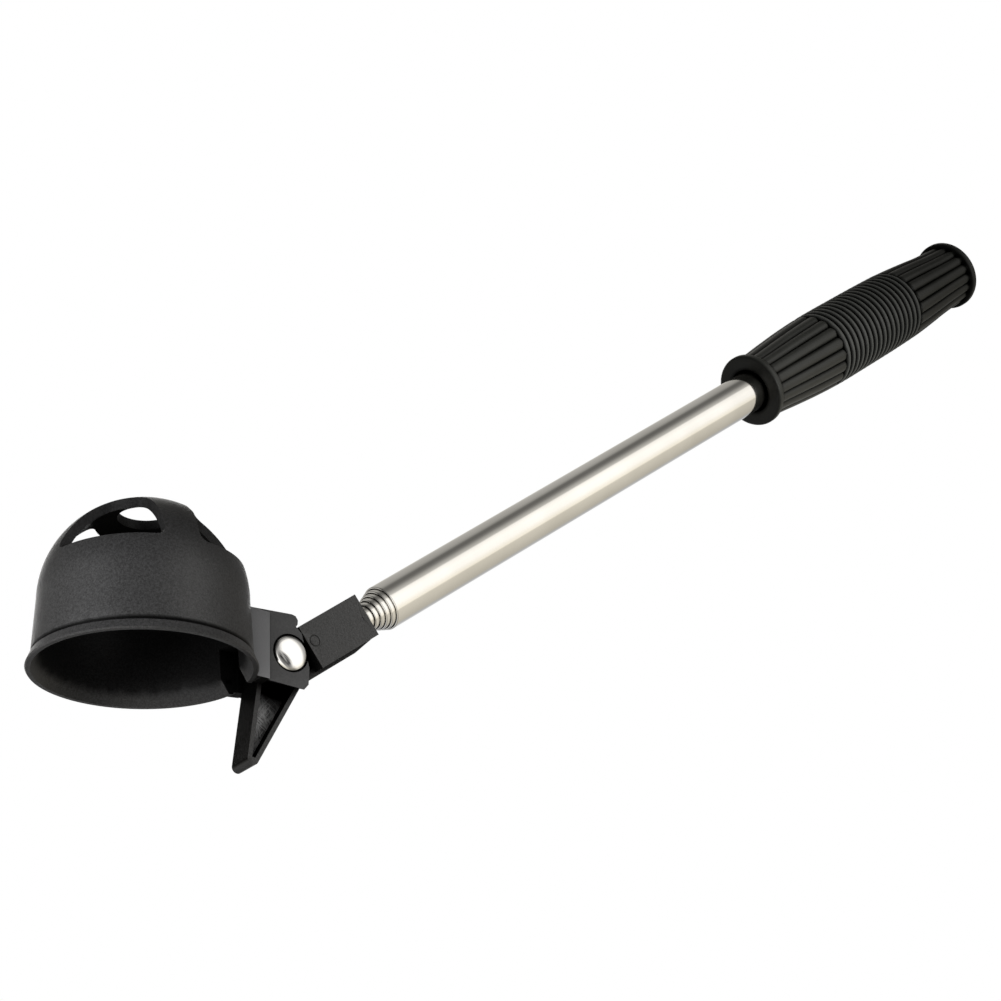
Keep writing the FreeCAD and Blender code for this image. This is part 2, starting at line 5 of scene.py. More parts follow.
import bmesh
import bpy
from mathutils import Matrix, Vector


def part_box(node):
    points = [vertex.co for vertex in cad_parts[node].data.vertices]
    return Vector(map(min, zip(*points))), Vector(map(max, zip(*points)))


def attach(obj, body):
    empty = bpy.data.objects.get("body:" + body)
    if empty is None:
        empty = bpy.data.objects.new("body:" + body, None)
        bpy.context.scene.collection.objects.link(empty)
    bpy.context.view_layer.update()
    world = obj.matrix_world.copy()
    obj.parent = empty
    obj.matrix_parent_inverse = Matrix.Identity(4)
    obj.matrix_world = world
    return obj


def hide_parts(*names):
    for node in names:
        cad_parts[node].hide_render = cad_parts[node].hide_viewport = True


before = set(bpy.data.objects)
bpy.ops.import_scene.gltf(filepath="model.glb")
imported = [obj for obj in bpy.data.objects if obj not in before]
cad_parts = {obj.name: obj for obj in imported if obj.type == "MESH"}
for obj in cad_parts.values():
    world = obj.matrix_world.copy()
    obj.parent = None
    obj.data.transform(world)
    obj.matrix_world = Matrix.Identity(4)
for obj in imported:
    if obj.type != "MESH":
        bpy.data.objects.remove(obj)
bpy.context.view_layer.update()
MM = 0.001
TAU = math.tau
POINT_RADIUS = 1e-6

# The scoop has a frame of its own: the rim's centre at the origin, the crown towards +Z and the hinge at -X.
SCOOP_TILT = math.radians(35.9)
RIVET_OUT, RIVET_UP = 37.93 * MM, 8.97 * MM
# Where the scoop's painted light and shade lie: paler ears and ear roots, a painted shadow under them from
# SHADED_FROM, painted shade on the dome's top from DOME_LOW to DOME_HIGH and inside round DOME_MIDDLE, and
# painted shade with dirt in the seam.
EAR_START = -31.6 * MM
ROOT_MIDDLE, ROOT_HALF, ROOT_ASIDE = -28.3 * MM, 3.3 * MM, 7.7 * MM
ROOT_LOW, ROOT_HIGH = 1.0 * MM, 19.0 * MM
SHADED_FROM = -28.9 * MM
DOME_LOW, DOME_HIGH, DOME_MIDDLE = 16.0 * MM, 36.0 * MM, 12.0 * MM
SEAM_UP, SEAM_CORE, SEAM_EDGE = 3.25 * MM, 0.2 * MM, 0.85 * MM
WALL_RADIUS, WALL_SLACK = 27.3 * MM, 0.9 * MM

# The half thickness of the arm's web, how far from the rivet the painted shade of the ears on the web
# reaches, and the way that the tongue's ball side, which has a painted shadow, faces.
WEB_HALF = 1.0 * MM
EARS_SHADE, EARS_SHADE_END = 10.5 * MM, 16.0 * MM
TONGUE_FACE = (0.72, 0.0, 0.69)

PLASTIC_TINT = (1.0, 1.0, 1.03)
CUP_TONE, ARM_TONE, PLUG_TONE = 0.045, 0.043, 0.05
# Where the rivet's painted dark reflection lies, its size and its turn
DARK_REFLECTION_PLACE = Vector((2.9, 15.2, -0.6)) * MM
DARK_REFLECTION_SIZE = (1.4 * MM, 4.0 * MM, 2.9 * MM)
DARK_REFLECTION_TURN = math.radians(12)


def middle(node):
    low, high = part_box(node)
    return (low + high) / 2


RIVET = middle("rivet_cap")
SCOOP_RIM = Vector((RIVET.x + RIVET_OUT * math.cos(SCOOP_TILT) + RIVET_UP * math.sin(SCOOP_TILT), 0.0,
                    RIVET.z + RIVET_OUT * math.sin(SCOOP_TILT) - RIVET_UP * math.cos(SCOOP_TILT)))

# ---------------------------------------------------------------- node materials


class Shader:
    """A small wrapper that adds nodes to one material or world and links them by socket name."""

    def __init__(self, owner):
        owner.use_nodes = True
        self.tree = owner.node_tree
        self.tree.nodes.clear()

    def feed(self, socket, value):
        """Links or sets one input; a colour of three numbers is opaque."""
        if isinstance(value, bpy.types.NodeSocket):
            self.tree.links.new(value, socket)
        else:
            socket.default_value = (*value, 1.0) if socket.type == "RGBA" and len(value) == 3 else value

    def add(self, kind, inputs=None, **settings):
        node = self.tree.nodes.new(kind)
        for name, value in settings.items():
            setattr(node, name, value)
        for name, value in (inputs or {}).items():
            self.feed(node.inputs[name], value)
        return node

    def math(self, operation, a, b=0.0):
        return self.add("ShaderNodeMath", {0: a, 1: b}, operation=operation).outputs[0]

    def product(self, first, *others):
        for other in others:
            first = self.math("MULTIPLY", first, other)
        return first

    def measure(self, operation, a, b=(0.0, 0.0, 0.0)):
        """The number that a vector operation gives, such as a length, a distance or a dot product."""
        return self.add("ShaderNodeVectorMath", {0: a, 1: b}, operation=operation).outputs["Value"]

    def span(self, value, low, high, start=0.0, end=1.0):
        """Runs from start to end while the value runs from low to high, and stays level outside."""
        inputs = {"Value": value, "From Min": low, "From Max": high, "To Min": start, "To Max": end}
        return self.add("ShaderNodeMapRange", inputs).outputs[0]

    def axes(self, vector):
        return self.add("ShaderNodeSeparateXYZ", {0: vector}).outputs

    def facing(self):
        """The direction that the surface faces, in the object's frame."""
        return self.add("ShaderNodeTexCoord").outputs["Normal"]

    def noise(self, vector, scale, detail=2.0, roughness=0.5, distortion=0.0):
        inputs = {"Vector": vector, "Scale": scale, "Detail": detail, "Roughness": roughness,
                  "Distortion": distortion}
        return self.add("ShaderNodeTexNoise", inputs).outputs["Fac"]

    def stretched(self, position, scale):
        return self.add("ShaderNodeMapping", {"Vector": position, "Scale": scale}).outputs[0]

    def placed(self, position, **frame_inputs):
        """The position seen from a frame with the given Location, Rotation and Scale."""
        inputs = {"Vector": position, **frame_inputs}
        return self.add("ShaderNodeMapping", inputs, vector_type="TEXTURE").outputs[0]

    def ramp(self, share, stops):
        node = self.add("ShaderNodeValToRGB", {"Fac": share})
        elements = node.color_ramp.elements
        while len(elements) < len(stops):
            elements.new(0.5)
        for element, (place, colour) in zip(elements, stops):
            element.position = place
            element.color = (*colour, 1.0)
        return node.outputs["Color"]

    def mix(self, share, a, b, blend="MIX"):
        """A colour between a and b."""
        inputs = {"Factor": share, 6: a, 7: b}
        return self.add("ShaderNodeMix", inputs, data_type="RGBA", blend_type=blend).outputs[2]

    def bump(self, height, distance, strength=1.0, normal=None):
        inputs = {"Height": height, "Distance": distance, "Strength": strength}
        if normal is not None:
            inputs["Normal"] = normal
        return self.add("ShaderNodeBump", inputs).outputs["Normal"]


def grey(level):
    return (level, level, level)


def tinted(tone, tint=PLASTIC_TINT):
    return tuple(tone * c for c in tint)


def new_material(name):
    material = bpy.data.materials.new(name)
    shader = Shader(material)
    position = shader.add("ShaderNodeTexCoord").outputs["Object"]
    surface = shader.add("ShaderNodeBsdfPrincipled")
    shader.add("ShaderNodeOutputMaterial", {"Surface": surface.outputs[0]})
    return material, shader, position, surface


def wire(shader, surface, **inputs):
    """Sets the surface's inputs; an underscore in a name stands for a space."""
    for name, value in inputs.items():
        shader.feed(surface.inputs[name.replace("_", " ")], value)


def shut_in(s, distance, power):
    """Falls from 1 in the open to 0 in corners and gaps narrower than distance, in metres; the materials
    paint it in as shade.
    """
    node = s.add("ShaderNodeAmbientOcclusion", {"Distance": distance}, samples=12)
    return s.math("POWER", node.outputs["AO"], power)


def moulded_grain(s, position, tone, tint):
    """Spark-eroded grain of a moulded part: a mottled colour, and the height that goes with it."""
    fine = s.noise(position, 3400.0, 2.0, 0.6)
    coarse = s.noise(position, 1700.0, 2.0, 0.5)
    cloud = s.noise(position, 45.0, 3.0, 0.55)
    grain = s.math("ADD", s.product(fine, 0.45), s.product(coarse, 0.55))
    speckle = s.ramp(grain, [(0.36, tinted(tone * 0.5, tint)), (0.64, tinted(tone * 1.6, tint))])
    height = s.math("ADD", fine, s.product(coarse, 1.4))
    return s.mix(s.product(cloud, 0.4), speckle, tinted(tone, tint)), height


def black_plastic(name, tone, tint=PLASTIC_TINT, reach=0.02, shade=2.4, finish=None):
    """Black moulded plastic, painted darker as shade where it is shut in, over the given reach in metres.
    finish changes the plain colour, the normal and the share of painted light at the place."""
    material, s, position, surface = new_material(name)
    colour, height = moulded_grain(s, position, tone, tint)
    normal = s.bump(height, 0.00005, 0.6)
    painted_light_share = shut_in(s, reach, shade)
    if finish is not None:
        colour, normal, painted_light_share = finish(s, position, colour, normal, painted_light_share)
    # painted shade: colour and gloss fall towards black in corners, gaps and shut-in places
    wire(s, surface, Base_Color=s.mix(painted_light_share, grey(0.0), colour), Roughness=0.42, Normal=normal,
         Specular_IOR_Level=s.product(painted_light_share, 0.3))
    return material


def scratched_web(s, position, colour, normal, painted_light_share):
    """The arm's web is rough and pale, with crossing scratches and painted shade near the ears, and the
    tongue's ball side is painted dark as a shadow.
    """
    aside = s.math("ABSOLUTE", s.axes(position)["Y"])
    in_web = s.product(s.math("LESS_THAN", aside, WEB_HALF), faces_aside(s, 0.8))
    worn = 0.0
    for degrees in (15, 62, 108):
        turned = s.placed(position, Rotation=(0, math.radians(degrees), 0),
                          Scale=(1 / 260.0, 1 / 900.0, 1 / 2300.0))
        worn = s.math("MAXIMUM", worn, s.noise(turned, 1.0, 3.0, distortion=0.6))
    patch = s.noise(position, 130.0, 2.0, 0.5)
    pale = s.ramp(s.math("ADD", worn, s.product(patch, 0.25)),
                  [(0.62, grey(0.26)), (0.73, grey(0.95)), (0.82, grey(1.0))])
    normal = s.bump(s.product(worn, in_web), 0.0002, 0.8, normal)
    # painted shadow on the tongue's ball side, and painted shade on the web near the rivet, under the ears
    ball_side_painted_shadow = s.span(s.measure("DOT_PRODUCT", s.facing(), TONGUE_FACE), 0.8, 0.97, 1.0, 0.15)
    off_rivet = s.measure("DISTANCE", position, (RIVET.x, 0.0, RIVET.z))
    beyond_painted_ear_shade = s.span(off_rivet, EARS_SHADE, EARS_SHADE_END)
    web_painted_shade_share = s.product(s.math("POWER", painted_light_share, 0.5), beyond_painted_ear_shade)
    share = s.add("ShaderNodeMix", {0: in_web, 2: s.product(painted_light_share, ball_side_painted_shadow), 3: web_painted_shade_share},
                  data_type="FLOAT").outputs[0]
    return s.mix(in_web, colour, pale), normal, share


def faces_aside(s, least):
    """1 on the surfaces that face to either side, along Y, and 0 on the others."""
    return s.math("GREATER_THAN", s.math("ABSOLUTE", s.axes(s.facing())["Y"]), least)


def cup_finish(s, position, colour, normal, painted_light_share):
    """The scoop's painted light and shade: paler ear faces and ear roots, as if lit, and painted shade on
    the dome's top, under the ears, in the seam over the lip together with dirt, and inside, which is almost
    black.
    """
    axes = s.axes(in_scoop(s, position))
    on_side = faces_aside(s, 0.9)
    # painted light: the ear faces, and more so the ear roots, are painted paler, as if lit
    ear_painted_light = s.product(on_side, s.math("LESS_THAN", axes["X"], EAR_START))
    colour = s.mix(ear_painted_light, colour, s.mix(0.5, colour, tinted(CUP_TONE * 3.2)))
    root_painted_light = s.product(on_side, ear_root_painted_light(s, axes))
    colour = s.mix(root_painted_light, colour, tinted(CUP_TONE * 8.5))
    # painted shade: darker towards the dome's top; the product below also holds painted shade inside, under
    # the ears and in the seam
    dome_painted_shade = s.span(axes["Z"], DOME_LOW, DOME_HIGH, 1.0, 0.45)
    share = s.product(painted_light_share, dome_painted_shade, inside_painted_shade(s, position), under_ears_painted_shadow(s, axes),
                      seam_dirt_and_painted_shade(s, axes))
    return colour, normal, share


def in_scoop(s, position):
    """The place in the scoop's own frame."""
    return s.placed(position, Location=SCOOP_RIM, Rotation=(0, -SCOOP_TILT, 0))


def ear_root_painted_light(s, axes):
    """Painted light on the blocks that carry the ears: close to 1 there, least at their top, and 0
    elsewhere.
    """
    along = s.math("LESS_THAN", s.math("ABSOLUTE", s.math("SUBTRACT", axes["X"], ROOT_MIDDLE)), ROOT_HALF)
    aside = s.math("GREATER_THAN", s.math("ABSOLUTE", axes["Y"]), ROOT_ASIDE)
    return s.product(along, aside, s.span(axes["Z"], ROOT_HIGH, ROOT_LOW, 0.7))


def inside_painted_shade(s, position):
    """Painted shade: 1 on the scoop's outside and 0.25 on the faces that look inwards to the middle of its
    dome.
    """
    dome = SCOOP_RIM + Vector((-math.sin(SCOOP_TILT), 0.0, math.cos(SCOOP_TILT))) * DOME_MIDDLE
    outward = s.add("ShaderNodeVectorMath", {0: position, 1: dome}, operation="SUBTRACT").outputs[0]
    straight = s.add("ShaderNodeVectorMath", {0: outward}, operation="NORMALIZE").outputs[0]
    return s.span(s.measure("DOT_PRODUCT", straight, s.facing()), -0.85, -0.5, 0.25)


def under_ears_painted_shadow(s, axes):
    """Painted shadow: 1 everywhere but 0.2 under the ears and their roots, which lie in the arm's shadow."""
    down = (math.sin(SCOOP_TILT), 0.0, -math.cos(SCOOP_TILT))
    under = s.span(s.measure("DOT_PRODUCT", s.facing(), down), 0.4, 0.6, 0.0, 0.8)
    return s.math("SUBTRACT", 1.0, s.product(under, s.math("LESS_THAN", axes["X"], SHADED_FROM)))


def seam_dirt_and_painted_shade(s, axes):
    """1 away from the shallow seam over the scoop's lip and 0.2 in it, where dirt gathers and shade is
    painted.
    """
    off = s.math("ABSOLUTE", s.math("SUBTRACT", axes["Z"], SEAM_UP))
    near = s.span(off, SEAM_CORE, SEAM_EDGE, 0.8, 0.0)
    flat = s.add("ShaderNodeCombineXYZ", {"X": axes["X"], "Y": axes["Y"]}).outputs[0]
    off_wall = s.math("ABSOLUTE", s.math("SUBTRACT", s.measure("LENGTH", flat), WALL_RADIUS))
    return s.math("SUBTRACT", 1.0, s.product(near, s.math("LESS_THAN", off_wall, WALL_SLACK)))


def grip_rubber():
    """Black rubber, a little dusty on its crests, its rings painted paler as painted light for their crest
    highlights, darker to the rear, with painted shade on its ends and in its black valleys."""
    material, s, position, surface = new_material("grip_rubber")
    fine = s.noise(position, 1900.0, 3.0, 0.55)
    dust = s.noise(position, 120.0, 4.0, 0.6)
    plain = s.ramp(dust, [(0.3, (0.019, 0.02, 0.0182)), (0.75, (0.031, 0.0325, 0.0295))])
    along = s.axes(position)["X"]
    off_rings = s.math("ABSOLUTE", s.math("SUBTRACT", along, sum(RINGS) / 2 * MM))
    on_rings = s.math("LESS_THAN", off_rings, (RINGS[1] - RINGS[0]) / 2 * MM)
    # painted light: the rings are painted paler, standing in for the highlights on their crests
    dust_and_painted_ring_light = s.mix(on_rings, plain, (0.115, 0.1185, 0.1115))
    front_share = s.span(along, 0.02, 0.1, 0.45)
    # painted shade: faces that look along the grip, its ends and the ring flanks, are painted darker
    ends_painted_shade = s.span(s.math("ABSOLUTE", s.axes(s.facing())["X"]), 0.35, 0.9, 1.0, 0.4)
    crisp = s.math("ADD", 4.0, s.product(on_rings, 3.0))
    # painted shade in the valleys from occlusion, with the rear darker too
    painted_light_share = s.product(shut_in(s, 0.0018, crisp), front_share, ends_painted_shade)
    wire(s, surface, Base_Color=s.mix(painted_light_share, grey(0.0), dust_and_painted_ring_light),
         Roughness=s.math("ADD", 0.3, s.product(dust, 0.16)), Normal=s.bump(fine, 0.00004, 0.4),
         Specular_IOR_Level=s.product(painted_light_share, 0.34))
    return material


def drawn_steel():
    """Drawn stainless tube: fine scratches along the shaft and faint rub marks round it."""
    material, s, position, surface = new_material("tube_steel")
    lines = s.noise(s.stretched(position, (9.0, 1400.0, 1400.0)), 1.0, 4.0, 0.6)
    rubs = s.noise(s.stretched(position, (1500.0, 60.0, 60.0)), 1.0, 2.0, 0.5)
    cloud = s.noise(position, 60.0, 3.0, 0.5)
    wire(s, surface, Metallic=1.0, Roughness=s.math("ADD", 0.06, s.product(lines, 0.05)),
         Base_Color=s.ramp(cloud, [(0.3, (0.745, 0.735, 0.715)), (0.7, (0.82, 0.812, 0.797))]),
         Normal=s.bump(s.math("ADD", lines, s.product(rubs, 0.5)), 0.000004, 0.5))
    return material


def rivet_metal():
    """Polished head with a painted dark reflection, in streaks, low on the side away from the grip."""
    material, s, position, surface = new_material("rivet_chrome")
    haze = s.noise(position, 700.0, 3.0, 0.6)
    place = s.placed(position, Location=RIVET + DARK_REFLECTION_PLACE, Rotation=(0, DARK_REFLECTION_TURN, 0), Scale=DARK_REFLECTION_SIZE)
    near = s.span(s.measure("LENGTH", place), 1.0, 0.55)
    reflection_streaks = s.ramp(s.noise(s.stretched(place, (5.0, 1.0, 0.8)), 1.0, 2.0, 0.5),
                     [(0.35, grey(0.5)), (0.6, grey(1.0))])
    # painted reflection: the base colour goes dark in streaks inside the patch
    wire(s, surface, Base_Color=s.mix(s.product(near, reflection_streaks), (0.83, 0.83, 0.84), (0.05, 0.05, 0.053)),
         Metallic=1.0, Roughness=s.math("ADD", 0.07, s.product(haze, 0.08)),
         Normal=s.bump(haze, 0.00001, 0.25))
    return material


def plain_metal(name, colour, roughness):
    material, s, position, surface = new_material(name)
    patches = s.noise(position, 260.0, 4.0, 0.6)
    wire(s, surface, Base_Color=s.ramp(patches, [(0.3, tinted(0.8, colour)), (0.7, colour)]), Metallic=1.0,
         Roughness=s.math("ADD", roughness, s.product(patches, 0.15)))
    return material


# ---------------------------------------------------------------- meshes


def link_piece(name, mesh_data, material, body, node):
    """Adds a piece that rides on a body and takes the place of a CAD node."""
    piece = bpy.data.objects.new(name, mesh_data)
    bpy.context.scene.collection.objects.link(piece)
    piece.data.materials.append(material)
    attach(piece, body)
    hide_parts(node)
    return piece


def turned_mesh(name, profile, axis_point, axis, segments=144, closed=True):
    """A surface of revolution. The profile lists (distance along the axis, radius) in millimetres."""
    axis = Vector(axis).normalized()
    side = axis.orthogonal().normalized()
    other = axis.cross(side)
    mesh = bmesh.new()
    rings = []
    for along, radius in profile:
        centre = Vector(axis_point) + axis * (along * MM)
        if radius < POINT_RADIUS:
            rings.append([mesh.verts.new(centre)])
            continue
        turns = (TAU * k / segments for k in range(segments))
        rings.append([mesh.verts.new(centre + (side * math.cos(a) + other * math.sin(a)) * (radius * MM))
                      for a in turns])
    pairs = list(zip(rings, rings[1:])) + ([(rings[-1], rings[0])] if closed else [])
    for first, second in pairs:
        skin(mesh, first, second)
    return finished_mesh(mesh, name)


def skin(mesh, first, second):
    """Faces between two rings of points; a ring of one point is a pole."""
    count = max(len(first), len(second))
    for k in range(count):
        following = (k + 1) % count
        if len(first) == 1:
            corners = (first[0], second[following], second[k])
        elif len(second) == 1:
            corners = (first[k], first[following], second[0])
        else:
            corners = (first[k], first[following], second[following], second[k])
        mesh.faces.new(corners)


def finished_mesh(mesh, name, sharp_degrees=38.0):
    bmesh.ops.recalc_face_normals(mesh, faces=mesh.faces)
    limit = math.radians(sharp_degrees)
    for face in mesh.faces:
        face.smooth = True
    for edge in mesh.edges:
        edge.smooth = len(edge.link_faces) == 2 and edge.calc_face_angle(0.0) < limit
    data = bpy.data.meshes.new(name)
    mesh.to_mesh(data)
    mesh.free()
    return data


def arc_points(centre, radius, start, end, count):
    """Points (along, radius) of an arc in a profile; the angles are in degrees."""
    angles = (math.radians(start + (end - start) * k / count) for k in range(count + 1))
    return [(centre[0] + radius * math.cos(a), centre[1] + radius * math.sin(a)) for a in angles]


def smooth_step(low, high, x):
    share = min(1.0, max(0.0, (x - low) / (high - low)))
    return share * share * (3 - 2 * share)


def curve_through(points, x):
    """A smooth curve through (x, y) points, by Catmull-Rom slopes."""
    if x <= points[0][0]:
        return points[0][1]
    for i in range(len(points) - 1):
        (x0, y0), (x1, y1) = points[i], points[i + 1]
        if x <= x1:
            before = points[max(i - 1, 0)]
            after = points[min(i + 2, len(points) - 1)]
            slope0 = (y1 - before[1]) / (x1 - before[0])
            slope1 = (after[1] - y0) / (after[0] - x0)
            t, span = (x - x0) / (x1 - x0), x1 - x0
            return ((2 * t**3 - 3 * t**2 + 1) * y0 + (t**3 - 2 * t**2 + t) * span * slope0
                    + (3 * t**2 - 2 * t**3) * y1 + (t**3 - t**2) * span * slope1)
    return points[-1][1]


# ---------------------------------------------------------------- grip

GRIP_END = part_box("grip")[1].x / MM
FLANGE, FLANGE_RADIUS = 2.4, 11.4
FLANGE_STEP = 0.25
RINGS = (35.4, 79.6)
RING_COUNT, RING_DEPTH = 17, 1.0
RING_STEPS, TAPER_STEPS = 10, 34
LOBES = 18
LOBE_PHASE = math.radians(3.0)
GRIP_LINE = [(0, 10.2), (8, 10.35), (15.7, 10.8), (19.6, 11.15), (27.9, 11.75), (35.4, 12.1), (48, 12.35),
             (62, 12.45), (77, 12.45), (89, 12.0), (100.5, 11.2), (109, 10.5), (GRIP_END, 10.3)]


def ring_dip(x):
    """How deep the belly's rings cut at x: rounded crests with a narrow valley at both ends of each."""
    start, end = RINGS
    if not start <= x <= end:
        return 0.0
    share = (x - start) / (end - start) * RING_COUNT % 1.0
    return RING_DEPTH * abs(2 * share - 1) ** 1.9


def lobe_dip(x, share):
    """How deep the surface lies below a lobe's crown; share runs 0 to 1 across the lobe."""
    start, end = RINGS
    if start <= x <= end:
        return 0.0
    across = abs(2 * share - 1)
    scallop = 0.09 * smooth_step(0.0, 1.0, across)
    gap = start - x if x < start else x - end
    to_flange = x - FLANGE if x < start else GRIP_END - FLANGE - x
    edge = (1 - smooth_step(0.0, 0.9, gap)) * 0.8 + (1 - smooth_step(0.2, 1.6, to_flange)) * 0.55 * across
    depth = 0.62 + 0.25 * smooth_step(0.0, 25.0, to_flange)
    return depth * across ** 3.2 + scallop + edge * (0.35 + 0.65 * across)


def grip_stations():
    """Places along the grip between its flanges: fine over the rings, closer towards every edge."""
    start, end = RINGS
    rear_end = FLANGE + FLANGE_STEP
    front_end = GRIP_END - FLANGE - FLANGE_STEP
    ring_steps = RING_COUNT * RING_STEPS
    rear = [rear_end + (start - rear_end) * t for t in edge_spread(TAPER_STEPS)]
    rings = [start + (end - start) * k / ring_steps for k in range(1, ring_steps)]
    front = [end + (front_end - end) * t for t in edge_spread(TAPER_STEPS)]
    return rear + rings + front


def edge_spread(count):
    return [0.5 - 0.5 * math.cos(math.pi * k / count) for k in range(count + 1)]


def flange_section(face, inward):
    """Rounded flange from its outer face (inward is +1 or -1 along x) to where the lobes start."""
    rim = FLANGE_RADIUS
    steps = [(0.0, rim - 0.9), (0.08, rim - 0.45), (0.3, rim - 0.15), (0.7, rim), (FLANGE - 0.7, rim),
             (FLANGE - 0.3, rim - 0.12), (FLANGE - 0.08, rim - 0.4), (FLANGE, rim - 0.8)]
    return [(face + inward * x, radius) for x, radius in steps]


def make_grip(material):
    """One skin: butt face, rear flange, lobes, rings, lobes, front flange and the mouth round the tube."""
    per_lobe = [0.0, 0.035, 0.08, 0.15, 0.26, 0.38, 0.5, 0.62, 0.74, 0.85, 0.92, 0.965]
    shares = [(lobe + s) / LOBES for lobe in range(LOBES) for s in per_lobe]
    plain = [(0.9, 0.0), (0.9, 6.0), (0.55, 7.6), (0.0, 8.6)] + flange_section(0.0, 1)
    rings = [("plain", x, radius) for x, radius in plain]
    rings += [("lobed", x, curve_through(GRIP_LINE, x) - ring_dip(x)) for x in grip_stations()]
    front = flange_section(GRIP_END, -1)[::-1]
    mouth = [(0.0, 7.1), (-0.1, 6.82), (-0.35, 6.66), (-0.8, 6.6), (-6.0, 6.5), (-6.2, 6.3)]
    rings += [("plain", x, radius) for x, radius in front + [(GRIP_END + dx, r) for dx, r in mouth]]
    mesh = bmesh.new()
    made = []
    for kind, x, radius in rings:
        if radius < POINT_RADIUS:
            made.append([mesh.verts.new((x * MM, 0, 0))])
            continue
        ring = []
        for share in shares:
            dip = lobe_dip(x, share * LOBES % 1.0) if kind == "lobed" else 0.0
            angle = TAU * share + LOBE_PHASE
            reach = (radius - dip) * MM
            ring.append(mesh.verts.new((x * MM, reach * math.cos(angle), reach * math.sin(angle))))
        made.append(ring)
    for first, second in zip(made, made[1:]):
        skin(mesh, first, second)
    data = finished_mesh(mesh, "grip_skin", 50.0)
    return link_piece("grip_skin", data, material, "handle", "grip")


# ---------------------------------------------------------------- shaft

TUBES = 8
TUBE_WALL = 0.3
MOUTH_ROLL, MOUTH_GAP = 0.34, 0.15


def tube_size(i):
    low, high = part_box(f"tube_{i}")
    return low.x / MM, high.x / MM, high.y / MM


def make_tube(i, material):
    """Drawn tube with its mouth rolled in over the next one, which leaves a thin dark gap between them."""
    rear, front, radius = tube_size(i)
    bore = radius - TUBE_WALL
    body = "handle" if i == 1 else "head_swivel" if i == TUBES else f"stage_{i}"
    profile = [(rear, bore), (rear, radius - 0.05), (rear + 0.05, radius)]
    if i < TUBES:
        gap = tube_size(i + 1)[2] + MOUTH_GAP
        roll = MOUTH_ROLL
        profile += [(front - 2.6, radius), (front - roll - 0.3, radius - 0.015)]
        profile += arc_points((front - roll, radius - roll - 0.015), roll, 80, 0, 7)
        profile += [(front - 0.06, gap + 0.02), (front - 0.2, gap), (front - 1.0, gap), (front - 1.3, bore)]
    else:
        profile += [(front - 0.1, radius), (front, radius - 0.1), (front, bore)]
    data = turned_mesh(f"tube_shell_{i}", profile, (0, 0, 0), (1, 0, 0), 160)
    link_piece(f"tube_shell_{i}", data, material, body, f"tube_{i}")


# ---------------------------------------------------------------- rivet

HEAD_HEIGHT, HEAD_EDGE = 1.5, 0.45
DOME_STEPS = 22
SHANK_RADIUS, SHANK_END = 2.0, -6.0


def make_rivet(name, node, side, material):
    """Polished domed head with a fine rolled edge; the near one also carries the shank."""
    low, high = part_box(node)
    centre = Vector(((low.x + high.x) / 2, 0, (low.z + high.z) / 2))
    radius = (high.x - low.x) / 2 / MM
    head_top = (high.y if side > 0 else -low.y) / MM
    head_base = head_top - HEAD_HEIGHT
    dome = [(head_base, radius - 0.12), (head_base + 0.1, radius), (head_base + 0.35, radius - 0.02)]
    for k in range(DOME_STEPS + 1):
        outward = 1 - k / DOME_STEPS
        rise = (HEAD_HEIGHT - HEAD_EDGE) * (1 - outward ** 3.4) ** 0.5
        dome.append((head_base + HEAD_EDGE + rise, (radius - 0.08) * outward))
    if side > 0:
        start = [(SHANK_END, 0.0), (SHANK_END, SHANK_RADIUS), (head_base, SHANK_RADIUS)]
    else:
        start = [(head_base, 0.0)]
    data = turned_mesh(name, start + dome, centre, (0, side, 0), 128, closed=False)
    link_piece(name, data, material, "scoop", node)


# ---------------------------------------------------------------- CAD nodes that stay


def dress(node, material, edge=0.0):
    """Gives a CAD node its material, and rounds its sharp edges by the given radius in millimetres."""
    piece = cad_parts[node]
    piece.data.materials.clear()
    piece.data.materials.append(material)
    piece.data.polygons.foreach_set("use_smooth", [True] * len(piece.data.polygons))
    if edge > 0:
        weld = piece.modifiers.new("weld", "WELD")
        weld.merge_threshold = 0.001 * MM
        bevel = piece.modifiers.new("edges", "BEVEL")
        bevel.width = edge * MM
        bevel.segments = 3
        bevel.limit_method = "ANGLE"
        bevel.angle_limit = math.radians(32)
        flat = piece.modifiers.new("flat faces", "WEIGHTED_NORMAL")
        flat.weight = 100


# ---------------------------------------------------------------- studio

# How bright the world is round the shaft, at angles in degrees from +Y towards +Z. Each tint holds up to its
# angle.
PANELS = [(-180, 0.80), (-160, 0.72), (-139, 0.49), (-118, 0.53), (-98, 0.59), (-78, 0.66), (-60, 0.71),
          (-51, 0.75), (-47, 1.08), (-20, 1.30), (4, 1.35), (20, 1.27), (29, 1.12), (33, 0.64), (47, 0.41),
          (58, 0.22), (70, 0.15), (82, 0.17), (91, 0.31), (102, 0.41), (122, 0.46), (142, 0.50), (164, 0.7),
          (180, 0.80)]
PANEL_TINTS = [(-125, grey(1.0)), (-45, (1.05, 0.985, 0.84)), (32, (1.02, 0.99, 0.93)),
               (180, (1.02, 0.99, 0.92))]
# The share of that light along the shaft, from -X to +X, and the light on soft surfaces from -Z to +Z.
PANEL_GAP = [(0.0, 0.3), (0.08, 0.4), (0.14, 1.0), (0.27, 1.0), (0.4, 0.35), (0.6, 0.35), (0.75, 1.0)]
AMBIENT = [(0.0, 0.26), (0.5, 0.24), (1.0, 0.12)]
FLOOR_SIZE, FLOOR_PLACE = 8.0, (0.2, 0.0, -0.16)
LIT_MIDDLE = Vector((0.2, 0.0, 0.0))
LAMP_REACH = 1.2


